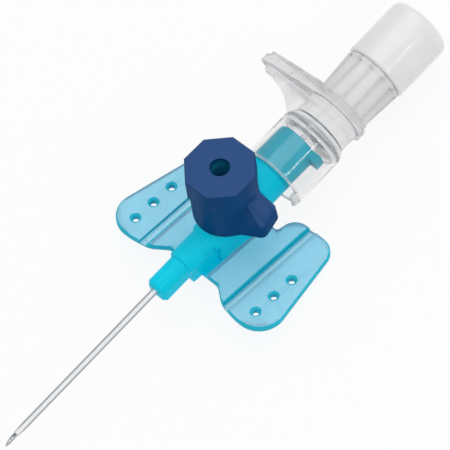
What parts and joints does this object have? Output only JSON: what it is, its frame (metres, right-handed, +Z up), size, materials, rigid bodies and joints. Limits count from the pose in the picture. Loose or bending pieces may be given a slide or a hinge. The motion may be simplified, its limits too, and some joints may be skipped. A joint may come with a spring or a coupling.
{
  "type": "iv cannula",
  "caption": "Winged intravenous cannula with a catheter over a bevelled needle, a capped injection port, a clear finger-grip needle hub and a vented end plug.",
  "frame": {"origin": "where the needle's axis leaves the front face of the catheter hub's nose", "axes": "+X along the needle from its tip to the rear, +Y to the left wing, +Z up through the port"},
  "size_m": [0.0749, 0.0272, 0.0177],
  "materials": {
    "needle_steel": "bright drawn",
    "catheter_polymer": "smooth translucent fluoropolymer",
    "ferrule_steel": "bright",
    "hub_polypropylene": "moulded translucent cyan",
    "valve_silicone": "smooth translucent silicone",
    "cap_polypropylene": "moulded dark blue, satin sheen",
    "clear_plastic": "clear moulded polycarbonate",
    "plug_polyethylene": "white moulded, satin",
    "filter_porous": "sintered porous"
  },
  "bodies": {
    "cannula": {"catheter_hub": "hub_polypropylene", "catheter_tube": "catheter_polymer", "catheter_ferrule": "ferrule_steel", "valve_sleeve": "valve_silicone"},
    "stylet": {"needle_hub": "clear_plastic", "needle_tube": "needle_steel"},
    "plug": {"flash_plug": "plug_polyethylene", "filter_disc": "filter_porous"},
    "cap": {"port_cap": "cap_polypropylene"}
  },
  "joints": [
    {"name": "needle_withdrawal", "type": "slide", "parent": "cannula", "child": "stylet", "axis": [1, 0, 0], "range_m": [0, 0.055]},
    {"name": "plug_pull", "type": "slide", "parent": "stylet", "child": "plug", "axis": [1, 0, 0], "range_m": [0, 0.008]},
    {"name": "cap_lift", "type": "slide", "parent": "cannula", "child": "cap", "axis": [0.1236, 0, 0.9923], "range_m": [0, 0.008]}
  ]
}
